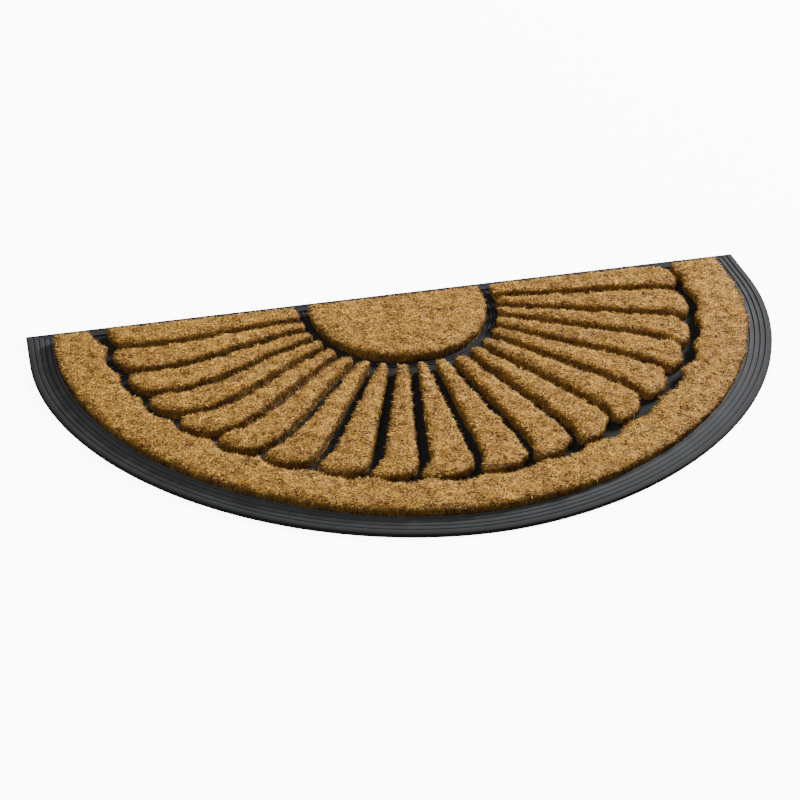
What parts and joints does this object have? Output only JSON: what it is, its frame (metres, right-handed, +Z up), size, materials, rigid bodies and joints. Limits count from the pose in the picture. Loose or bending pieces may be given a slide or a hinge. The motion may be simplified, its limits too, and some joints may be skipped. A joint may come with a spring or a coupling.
{
  "type": "half-moon coir and rubber doormat",
  "caption": "Half-moon doormat: a moulded rubber sheet with a ribbed border, and blocks of coir pile in a sunburst of rays round a half-disc, inside a scalloped crescent.",
  "frame": {"origin": "middle of the bottom of the mat's box, on the floor", "axes": "+X along the straight edge, -Y towards the curved edge, +Z up"},
  "size_m": [0.75, 0.45, 0.015],
  "materials": {
    "rubber": "matt moulded rubber, dark grey",
    "coir": "cut coir pile, golden brown"
  },
  "bodies": {
    "root": {"rubber_base": "rubber", "coir_band": "coir", "coir_half_disc": "coir", "coir_ray_01": "coir", "coir_ray_02": "coir", "coir_ray_03": "coir", "coir_ray_04": "coir", "coir_ray_05": "coir", "coir_ray_06": "coir", "coir_ray_07": "coir", "coir_ray_08": "coir", "coir_ray_09": "coir", "coir_ray_10": "coir", "coir_ray_11": "coir", "coir_ray_12": "coir", "coir_ray_13": "coir", "coir_ray_14": "coir", "coir_ray_15": "coir", "coir_ray_16": "coir", "coir_ray_17": "coir", "coir_ray_18": "coir", "coir_ray_19": "coir"}
  },
  "joints": []
}
